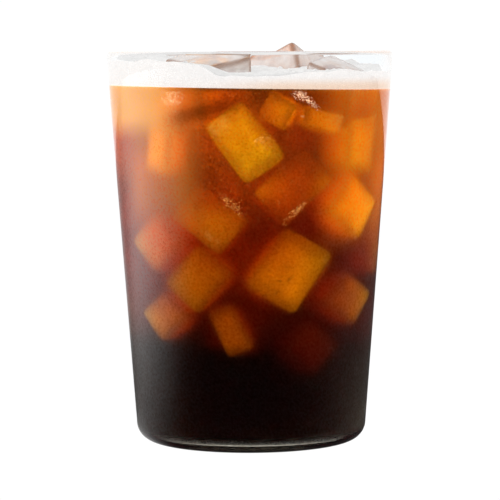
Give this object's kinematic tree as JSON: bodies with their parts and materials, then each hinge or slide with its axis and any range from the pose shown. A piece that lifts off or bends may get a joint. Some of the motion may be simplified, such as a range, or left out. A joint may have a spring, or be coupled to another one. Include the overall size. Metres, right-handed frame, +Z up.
{
  "type": "iced americano",
  "caption": "Iced black coffee with a pale foam and ice cubes, filled near the rim of a straight clear glass tumbler.",
  "frame": {"origin": "middle of the flat foot, on the surface that the glass stands on", "axes": "+Z up along the glass's axis; the picture looks along +Y with +X to the right"},
  "size_m": [0.088, 0.088, 0.1226],
  "materials": {
    "glass": "polished clear soda glass",
    "coffee": "clear dark brown liquid",
    "foam": "fine pale foam",
    "ice": "wet clear ice"
  },
  "bodies": {
    "root": {"glass": "glass", "coffee": "coffee", "foam": "foam", "ice_cube_1": "ice", "ice_cube_2": "ice", "ice_cube_3": "ice", "ice_cube_4": "ice"}
  },
  "joints": []
}
